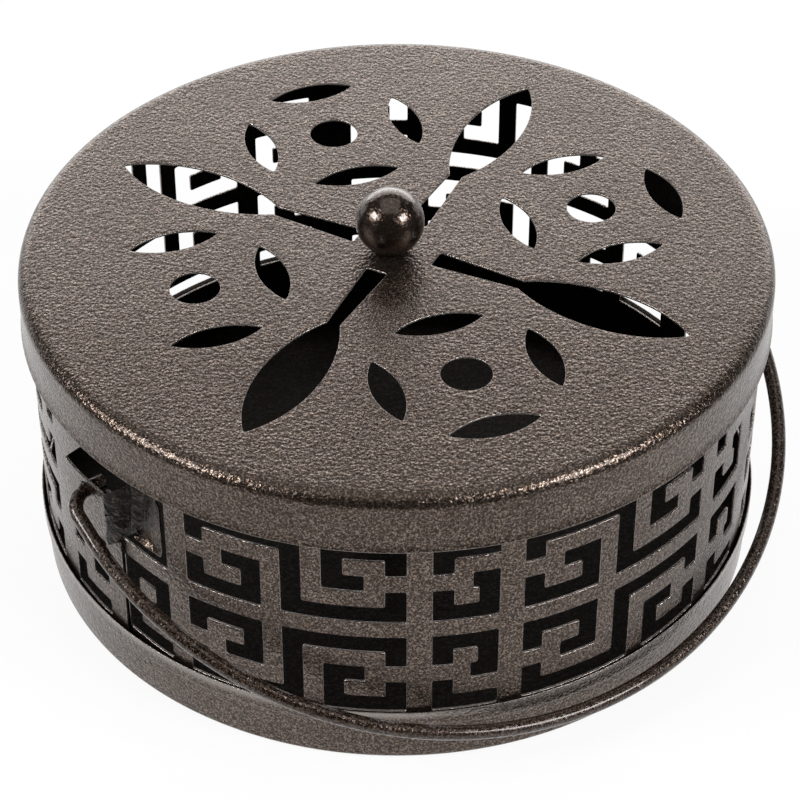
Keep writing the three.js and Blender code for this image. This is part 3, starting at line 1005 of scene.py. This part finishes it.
def make_screw(material):
    head_low = lid_underside - screw_head_height
    pan_head = arc((0, lid_underside), 1.0, -quarter_turn, 0, round_steps)
    profile = [(0, head_low)]
    for x, z in pan_head[1:]:
        profile.append((x * screw_head_radius, lid_underside + (z - lid_underside) * screw_head_height))
    profile.append((screw_radius, lid_underside))
    root = screw_radius - thread_depth
    tip = lid_underside + screw_length
    turns = int((screw_length - sheet * 2) / screw_pitch)
    for i in range(turns):
        foot = lid_underside + sheet * 2 + i * screw_pitch
        profile += [(root, foot), (screw_radius, foot + screw_pitch / 2)]
    profile += [(root, tip), (0, tip)]
    screw = piece_from("knob_screw_turned", *turned(profile, hole_facets * 2, knob_offset), material)
    long, wide, deep = screw_head_radius * 2, screw_slot_width / 2, screw_slot_depth
    corners = []
    for i, j, k in np.ndindex(2, 2, 2):
        x = knob_offset + long * (2 * i - 1)
        corners.append((x, wide * (2 * j - 1), head_low + deep * (2 * k - 1)))
    sides = [(0, 1, 3, 2), (4, 6, 7, 5), (0, 4, 5, 1), (2, 3, 7, 6), (0, 2, 6, 4), (1, 5, 7, 3)]
    cutter = piece_from("slot_cutter", corners, sides, material)
    cut = screw.modifiers.new("slot", "BOOLEAN")
    cut.object = cutter
    cut.solver = "EXACT"
    bake(screw)
    bpy.data.objects.remove(cutter)
    return smoothed(screw)


# Bail

def bail_path():
    """The wire's centre line from one hooked end over the bow to the other, at rest."""
    bend = bail_half_width - bail_bend
    half = [(bail_inner_end, 0), (bend, 0)]
    half += arc((bend, bail_bend), bail_bend, -quarter_turn, 0, bend_steps)[1:]
    for i in range(bow_steps + 1):
        turn = quarter_turn * i / bow_steps
        half.append((bail_half_width * math.cos(turn), bail_leg + (bail_depth - bail_leg) * math.sin(turn)))
    half[-1] = (0, half[-1][1])
    stations = half + [(-side, reach) for side, reach in half[-2::-1]]
    pivot = Vector((math.sin(bail_angle), -math.cos(bail_angle), 0))
    front = Vector((math.cos(bail_angle), math.sin(bail_angle), 0))
    fall = front * math.cos(bail_droop) - Vector((0, 0, math.sin(bail_droop)))
    return [(pivot * side + fall * reach + Vector((0, 0, bail_height))) * mm for side, reach in stations]


def wire_tree():
    """Sweeps a round wire along a run of points and closes its ends."""
    tree = ShapeTree("bent_wire", ["Wire radius"], ["Sides"])
    path = tree.read("GeometryNodeMeshToCurve", Mesh=tree.given("Geometry"))
    section = tree.read(
        "GeometryNodeCurvePrimitiveCircle", Resolution=tree.given("Sides"), Radius=tree.given("Wire radius"))
    tube = tree.add("GeometryNodeCurveToMesh", Curve=path)
    plug(tree.tree, tube.inputs["Profile Curve"], section)
    tube.inputs["Fill Caps"].default_value = True
    tree.finish(tree.get(tube))
    return tree


def make_bail(material):
    path = bail_path()
    mesh = bpy.data.meshes.new("bail_wire")
    mesh.from_pydata(path, [(i, i + 1) for i in range(len(path) - 1)], [])
    bail = placed("bail_wire", mesh)
    wire_tree().run(bail, {"Wire radius": wire_radius * mm, "Sides": wire_facets, "Material": material})
    return smoothed(bail)


# Coil stand

def make_stand(material):
    disc = circle(0, stand_radius, hole_facets * 2)
    slot_half = stand_width / 2 + stand_slot_margin
    slot_end = stand_radius * stand_slot_share
    slot = [(-slot_half, 0), (slot_half, 0), (slot_half, slot_end), (-slot_half, slot_end)]
    foot = Sheet(divided(disc), [divided(rounded(slot, corner_round))])
    half = stand_width / 2
    neck = stand_neck_width / 2
    top = sheet + stand_height
    shoulder = sheet + stand_shoulder
    point = top - neck * 4
    blade = Sheet(divided(rounded([
        (-half, sheet), (half, sheet), (half, shoulder), (neck, shoulder), (neck, point), (0, top),
        (-neck, point), (-neck, shoulder), (-half, shoulder),
    ], corner_round)), [])
    foot_verts = [(x, y, sheet * 2 + depth) for x, y, depth in foot.verts]
    blade_verts = [(x, depth, y) for x, y, depth in blade.verts]
    both = joined((foot_verts, foot.faces), (blade_verts, blade.faces))
    stand = piece_from("coil_stand_sheet", *both, material, foot.cut)
    return smoothed(stand)


# Finishes

class Finish(Tree):
    """A material built up from its nodes, ending in one surface shader."""

    def __init__(self, name):
        self.material = bpy.data.materials.new(name)
        self.material.use_nodes = True
        self.material.node_tree.nodes.clear()
        super().__init__(self.material.node_tree)
        self.place = self.read("ShaderNodeTexCoord", "Object")

    def grain(self, size, detail=2.0, rough=0.5, distortion=0.0):
        """Soft noise whose patches are about as wide as the size in millimetres."""
        return self.read(
            "ShaderNodeTexNoise", 0, None, Vector=self.place, Scale=1 / (size * mm),
            Detail=detail, Roughness=rough, Distortion=distortion)

    def cells(self, size):
        """Distance from the middle of rounded cells of about the size in millimetres."""
        warp = self.read("ShaderNodeTexNoise", 1, None, Vector=self.place, Scale=1 / (size * mm), Detail=1.0)
        moved = self.read("ShaderNodeVectorMath", 0, {"operation": "MULTIPLY_ADD"})
        node = moved.socket.node
        plug(self.tree, node.inputs[0], warp)
        node.inputs[1].default_value = (size * mm * warp_share,) * 3
        plug(self.tree, node.inputs[2], self.place)
        return self.read(
            "ShaderNodeTexVoronoi", 0, {"feature": "SMOOTH_F1", "normalize": True}, Vector=moved,
            Scale=1 / (size * mm), Randomness=1.0, Smoothness=wrinkle_softness)

    def marked(self, name):
        """A value that the mesh's points carry."""
        return self.read("ShaderNodeAttribute", "Fac", {"attribute_name": name})

    def surface(self, normal=None, **sockets):
        shader = self.add("ShaderNodeBsdfPrincipled", None, **sockets)
        if normal is not None:
            plug(self.tree, shader.inputs["Normal"], normal)
        return self.shown(shader)

    def shown(self, shader):
        output = self.tree.nodes.new("ShaderNodeOutputMaterial")
        self.tree.links.new(shader.outputs[0], output.inputs[0])
        return self.material

    def raised_by(self, height, depth):
        """A bump normal, where a height of 1 is as high as the depth in millimetres."""
        return self.read("ShaderNodeBump", 0, None, Strength=1.0, Distance=depth * mm, Height=height)


def hammered_coat(name, colour, shade_and_speck_colour, size, depth, roughness, gloss, chalk=0.0, shine=0.5):
    """Bronze brown powder coat, drawn up into fine rounded wrinkles, with painted shade in the hollows
    between them, dark specks, a lighter cut edge that is partly wear and partly painted highlight, and
    painted shade on the tongue's folds.
    """
    finish = Finish(name)
    wrinkles = finish.cells(size)
    crumbs = finish.grain(size * crumb_share, detail=3.0, rough=0.6)
    swell = finish.grain(size * swell_share)
    cloud = finish.grain(cloud_size, detail=3.0).smoothly(low=0.3, high=0.7)
    speck = finish.grain(size * speck_share, rough=0.6, distortion=0.5).smoothly(low=0.49, high=0.56)
    fleck = finish.grain(size * fleck_share, rough=0.6, distortion=0.5).smoothly(low=0.47, high=0.55)
    folds_and_shade = finish.marked("crinkle_and_shade")
    creases = finish.grain(fold_size, detail=3.0, rough=0.6, distortion=1.5)

    crest = tuple(min(1.0, part * crest_gain) for part in colour[:3]) + (1,)
    tint = finish.mix_colour(fleck, colour, crest)
    warm = swell.smoothly(low=0.35, high=0.65)
    tint = finish.mix_colour(warm * warm_strength, tint, crest_ochre, "MULTIPLY")
    # Painted shade in the hollows between the wrinkles, plus random dark specks
    hollow_shade_and_speck = wrinkles.smoothly(low=0.3, high=0.62) * hollow_shade_strength + speck * speck_strength
    tint = finish.mix_colour(hollow_shade_and_speck, tint, shade_and_speck_colour)
    tint = finish.mix_colour(cloud * cloud_strength, tint, shade_and_speck_colour)
    # A lighter line on the cut edges: partly edge wear, partly painted highlight
    bare_and_gleam = finish.marked("cut_edge").smoothly(low=0.3, high=0.9)
    tint = finish.mix_colour(bare_and_gleam * bare_and_gleam_strength, tint, edge_gleam)
    # Painted shade over the tongue's folds, lighter on the raised creases as a painted highlight
    lit_crease = creases.smoothly(low=0.52, high=0.6)
    tint = finish.mix_colour(folds_and_shade * (fold_shade_strength - lit_crease * lit_crease_strength), tint, shaded_pit)

    height = 1 - wrinkles * wrinkle_height + crumbs * crumb_height + swell * swell_height
    height = height + folds_and_shade * creases * fold_height
    metal = flake_share - (hollow_shade_and_speck - folds_and_shade) * shade_and_speck_dulling - fleck * chalk
    rough = roughness + crumbs * crumb_roughness + cloud * cloud_roughness
    return finish.surface(
        finish.raised_by(height, depth), Base_Color=tint, Metallic=metal, Roughness=rough,
        Coat_Weight=gloss, Coat_Roughness=gloss_roughness, Coat_IOR=gloss_refraction,
        Specular_IOR_Level=shine)


def drawn_steel(name):
    """Plain bright steel with fine drawing lines and dull patches."""
    finish = Finish(name)
    fine = finish.grain(drawing_size, detail=3.0)
    dull = finish.grain(dull_size, detail=3.0).smoothly(low=0.35, high=0.7)
    colour = finish.mix_colour(dull * dull_strength, bright_steel, dull_steel)
    rough = steel_roughness + fine * drawing_roughness
    return finish.surface(
        finish.raised_by(fine, drawing_depth), Base_Color=colour, Metallic=1.0, Roughness=rough)


def paper_floor():
    """Pale matt floor that the camera and any gloss see as white, with the shadow kept."""
    finish = Finish("pale_floor")
    path = finish.add("ShaderNodeLightPath")
    seen = finish.get(path, "Is Camera Ray")
    for kind in ("Is Glossy Ray", "Is Transmission Ray"):
        seen = seen.maths("MAXIMUM", seen, finish.get(path, kind))
    shade = finish.mix_colour(finish.grain(paper_patch), pale_paper, dull_paper)
    matt = finish.add("ShaderNodeBsdfDiffuse", None, Color=shade)
    white = finish.add("ShaderNodeEmission", None, Color=(1, 1, 1, 1), Strength=1.0)
    mix = finish.tree.nodes.new("ShaderNodeMixShader")
    plug(finish.tree, mix.inputs[0], seen * floor_white_share)
    finish.tree.links.new(matt.outputs[0], mix.inputs[1])
    finish.tree.links.new(white.outputs[0], mix.inputs[2])
    return finish.shown(mix)


def dark_cloth():
    """Black felt that keeps the reflections dark on the camera's side."""
    finish = Finish("dark_cloth")
    shade = finish.mix_colour(finish.grain(felt_patch), dark_felt, light_felt)
    return finish.surface(Base_Color=shade, Roughness=felt_roughness)


# Colours
bronze = (0.061, 0.0484, 0.0413, 1)
ball_bronze = (0.03, 0.022, 0.0175, 1)
wire_bronze = (0.02, 0.0135, 0.01, 1)
# Painted shade: darker copies of the coat's colours for the inside of the burner, the stand and the tongue's
# folds
shaded_bronze = (0.006, 0.005, 0.0045, 1)
# Painted shade for the wrinkles' hollows, also the colour of the random dark specks
shade_and_speck_brown = (0.026, 0.013, 0.007, 1)
shaded_pit = (0.008, 0.005, 0.003, 1)
crest_gain = 3.6
crest_ochre = (1.0, 0.93, 0.84, 1)
# Lighter cut edge colour: partly edge wear, partly painted highlight
edge_gleam = (0.3, 0.27, 0.25, 1)
bright_steel = (0.46, 0.45, 0.43, 1)
dull_steel = (0.3, 0.28, 0.25, 1)
pale_paper = (0.84, 0.84, 0.84, 1)
dull_paper = (0.8, 0.8, 0.8, 1)
dark_felt = (0.012, 0.011, 0.011, 1)
light_felt = (0.02, 0.019, 0.018, 1)

# Steel, paper and felt
drawing_size = 0.35
drawing_depth = 0.02
drawing_roughness = 0.18
steel_roughness = 0.28
dull_size = 3.0
dull_strength = 0.6
paper_patch = 6.0
felt_patch = 4.0
felt_roughness = 0.95

sheet_coat = hammered_coat(
    "hammered_sheet_coat", bronze, shade_and_speck_brown, size=0.75, depth=0.13, roughness=0.13, gloss=0.12)
# Painted shade: a darker copy of the sheet coat for the faces inside the burner
inside_shade_coat = hammered_coat(
    "inner_sheet_coat", shaded_bronze, shaded_pit, size=1.2, depth=0.05, roughness=0.42, gloss=0.0,
    shine=0.12)
knob_coat = hammered_coat(
    "hammered_knob_coat", ball_bronze, shade_and_speck_brown, size=0.7, depth=0.075, roughness=0.1, gloss=0.7)
wire_coat = hammered_coat(
    "hammered_wire_coat", wire_bronze, shade_and_speck_brown, size=0.9, depth=0.2, roughness=0.1, gloss=0.5, chalk=0.6)
# Painted shade: the stand inside the burner is coated in the darker shaded colours
shaded_stand_coat = hammered_coat(
    "stand_sheet_coat", shaded_bronze, shaded_pit, size=0.9, depth=0.08, roughness=0.25, gloss=0.05)
screw_steel = drawn_steel("screw_steel")


def paint_inside_shade(thing):
    """Gives the faces that look at the middle of the burner the darker coat of the inside, which is painted
    shade.
    """
    mesh = thing.data
    mesh.materials.append(inside_shade_coat)
    middle = Vector((0, 0, lid_top / 2 * mm))
    for face in mesh.polygons:
        toward = (middle - face.center).normalized()
        face.material_index = int(face.normal.dot(toward) > inside_facing)
    return thing


# Pieces and the bodies that they ride on

pieces = [
    (paint_inside_shade(make_band(sheet_coat)), "fret_band", "body", "coated_sheet"),
    (paint_inside_shade(make_pan(sheet_coat)), "base_pan", "body", "coated_sheet"),
    (make_stand(shaded_stand_coat), "coil_stand", "body", "stand_sheet"),
    (paint_inside_shade(make_lid(sheet_coat)), "lid", "lid", "coated_sheet"),
    (make_knob(knob_coat), "ball_knob", "lid", "coated_knob"),
    (make_screw(screw_steel), "knob_screw", "lid", "plain_steel"),
    (make_bail(wire_coat), "bail_handle", "bail", "coated_wire"),
]
for piece, node, body, slot in pieces:
    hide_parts(node)
    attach(piece, body)

# Floor, lights and camera

floor_reach = 2400.0
floor_rise_start = 900.0
wall_height = 700.0
floor_drop = 0.02
floor_white_share = 0.9
flag_inner = 250.0
flag_outer = 1100.0
flag_low = 2.0
flag_high = 360.0
flag_span = math.radians(112)
flag_steps = 32
floor_steps = 16
floor_facets = 96
camera_sensor = 36
camera_lens = 126.8
camera_near = 0.01
camera_place = (0, -0.42735, 0.38954)
camera_tilt = quarter_turn - math.radians(40.275)
camera_turn = -math.radians(0.085)
room_grey = (0.05, 0.05, 0.05, 1)
aim = Vector((0, 0, lid_top * mm))


def make_floor():
    """A wide floor that curves up into a low wall all round."""
    profile = [(0, -floor_drop), (floor_rise_start / 3, -floor_drop), (floor_rise_start, -floor_drop)]
    for k in range(1, floor_steps + 1):
        turn = quarter_turn * k / floor_steps
        out = floor_rise_start + (floor_reach - floor_rise_start) * math.sin(turn)
        profile.append((out, wall_height * (1 - math.cos(turn)) - floor_drop))
    verts, faces = turned(profile, floor_facets)
    floor = piece_from("floor", verts, [face[::-1] for face in faces], paper_floor())
    floor.data.shade_smooth()


def make_flag():
    """A sloping half ring of black cloth in front of the burner, out of the camera's sight."""
    verts = []
    for i in range(flag_steps + 1):
        turn = flag_span * (2 * i / flag_steps - 1)
        for radius, height in ((flag_inner, flag_low), (flag_outer, flag_high)):
            verts.append((radius * math.sin(turn), -radius * math.cos(turn), height))
    faces = [(2 * i, 2 * i + 1, 2 * i + 3, 2 * i + 2) for i in range(flag_steps)]
    flag = piece_from("front_flag", verts, faces, dark_cloth())
    flag.visible_camera = False


def add_softbox(name, azimuth, elevation, distance, width, height, brightness):
    """A soft rectangular lamp aimed at the burner. Its brightness is what a mirror would show."""
    data = bpy.data.lights.new(name, "AREA")
    data.shape = "RECTANGLE"
    data.size = width
    data.size_y = height
    data.energy = brightness * math.pi * width * height
    lamp = placed(name, data)
    turn = math.radians(azimuth)
    rise = math.radians(elevation)
    toward = Vector((math.sin(turn) * math.cos(rise), -math.cos(turn) * math.cos(rise), math.sin(rise)))
    lamp.location = toward * distance + aim
    lamp.rotation_euler = toward.to_track_quat("Z", "Y").to_euler()
    lamp.visible_camera = False


make_floor()
make_flag()
add_softbox(
    "back_softbox", azimuth=178, elevation=18.5, distance=1.3, width=2.2, height=0.98, brightness=2.6)
add_softbox(
    "top_softbox", azimuth=180, elevation=88, distance=1.3, width=1.4, height=1.4, brightness=0.9)
add_softbox(
    "left_softbox", azimuth=-71, elevation=33, distance=1.2, width=0.5, height=0.36, brightness=20.0)
add_softbox(
    "right_softbox", azimuth=57, elevation=34, distance=1.2, width=0.5, height=0.36, brightness=20.0)

world = bpy.data.worlds.new("studio")
bpy.context.scene.world = world
world.use_nodes = True
background = world.node_tree.nodes["Background"]
background.inputs["Color"].default_value = room_grey
background.inputs["Strength"].default_value = 1.0

camera_data = bpy.data.cameras.new("camera")
camera_data.sensor_width = camera_sensor
camera_data.lens = camera_lens
camera_data.clip_start = camera_near
camera = placed("camera", camera_data)
camera.location = camera_place
camera.rotation_euler = (camera_tilt, 0, camera_turn)
bpy.context.scene.camera = camera

bpy.context.scene.view_settings.view_transform = "Standard"
